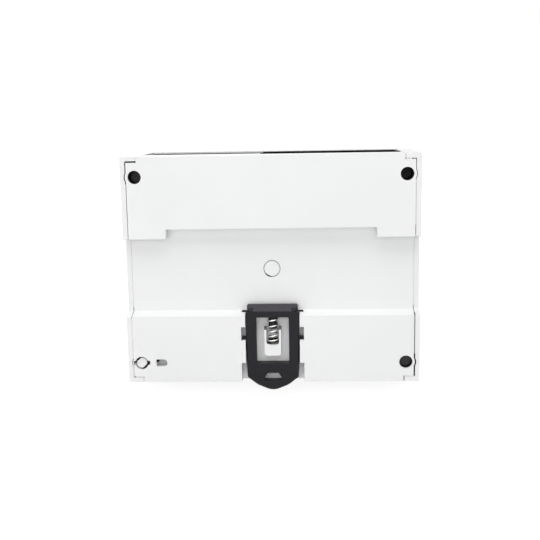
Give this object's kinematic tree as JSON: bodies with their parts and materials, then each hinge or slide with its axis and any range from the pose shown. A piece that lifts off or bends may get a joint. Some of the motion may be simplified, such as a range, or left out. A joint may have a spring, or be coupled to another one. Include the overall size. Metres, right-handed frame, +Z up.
{
  "type": "din rail energy meter",
  "caption": "Boxy white electricity meter for rail mounting, with a spring-loaded black clip at the rear, covered screw terminals and a stepped front with a display.",
  "frame": {"origin": "middle of the flat seat that lies against the rail, at the rear", "axes": "+X across the meter along the rail, +Y out of the rear towards the rail, +Z up"},
  "size_m": [0.1226, 0.0656, 0.0988],
  "materials": {
    "housing_white": "fine satin moulding, white",
    "base_white": "fine satin moulding, white",
    "cover_white": "fine satin moulding, white",
    "terminal_black": "glass-filled moulding, matt",
    "clip_black": "nylon moulding with a soft sheen",
    "window_clear": "clear polycarbonate, gloss",
    "diffuser_white": "milky tray",
    "display_green": "liquid crystal glass, gloss",
    "button_grey": "soft touch",
    "switch_black": "matt",
    "lamp_red": "tinted clear resin",
    "board_green": "solder mask over glass fibre",
    "link_black": "pin strip",
    "transformer_core": "laminated core and taped winding",
    "capacitor_red": "dipped film capacitor",
    "capacitor_blue": "sleeved can",
    "chip_black": "moulded package",
    "varistor_blue": "dipped disc",
    "ring_blue": "potted ring core",
    "bar_metal": "bright drawn bar",
    "cage_metal": "zinc plated",
    "screw_metal": "zinc plated",
    "plug_white": "fine satin moulding, white",
    "spring_steel": "bright drawn wire"
  },
  "bodies": {
    "housing": {"rear_base": "base_white", "front_housing": "housing_white", "terminal_block_top": "terminal_black", "terminal_block_bottom": "terminal_black", "aux_block_top": "terminal_black", "aux_block_bottom": "terminal_black", "terminal_cover_top": "cover_white", "terminal_cover_bottom": "cover_white", "display_window": "window_clear", "display_frame": "diffuser_white", "display_glass": "display_green", "display_board": "board_green", "button_switch": "switch_black", "pulse_lamp_active": "lamp_red", "pulse_lamp_reactive": "lamp_red", "main_board": "board_green", "board_link": "link_black", "supply_transformer": "transformer_core", "filter_capacitor": "capacitor_red", "storage_capacitor": "capacitor_blue", "metering_chip": "chip_black", "varistor_1": "varistor_blue", "varistor_2": "varistor_blue", "varistor_3": "varistor_blue", "current_transformer_1": "ring_blue", "current_transformer_2": "ring_blue", "current_transformer_3": "ring_blue", "busbar_1": "bar_metal", "busbar_2": "bar_metal", "busbar_3": "bar_metal", "busbar_4": "bar_metal", "cage_top_1": "cage_metal", "cage_top_2": "cage_metal", "cage_top_3": "cage_metal", "cage_top_4": "cage_metal", "cage_bottom_1": "cage_metal", "cage_bottom_2": "cage_metal", "cage_bottom_3": "cage_metal", "cage_bottom_4": "cage_metal", "clamp_screws_top": "screw_metal", "clamp_screws_bottom": "screw_metal", "aux_screws_top": "screw_metal", "aux_screws_bottom": "screw_metal", "case_screws": "screw_metal", "cover_screws": "screw_metal", "board_screws": "screw_metal", "sealing_plug": "plug_white", "clip_spring": "spring_steel"},
    "clip": {"rail_clip": "clip_black"},
    "button": {"scroll_button": "button_grey"}
  },
  "joints": [
    {"name": "clip_slide", "type": "slide", "parent": "housing", "child": "clip", "axis": [0, 0, -1], "range_m": [0, 0.004], "stiffness_N_per_m": 1200, "springref_m": -0.004, "deforming": ["clip_spring"]},
    {"name": "button_press", "type": "slide", "parent": "housing", "child": "button", "axis": [0, 1, 0], "range_m": [0, 0.0005], "stiffness_N_per_m": 1200, "springref_m": -0.0004}
  ]
}
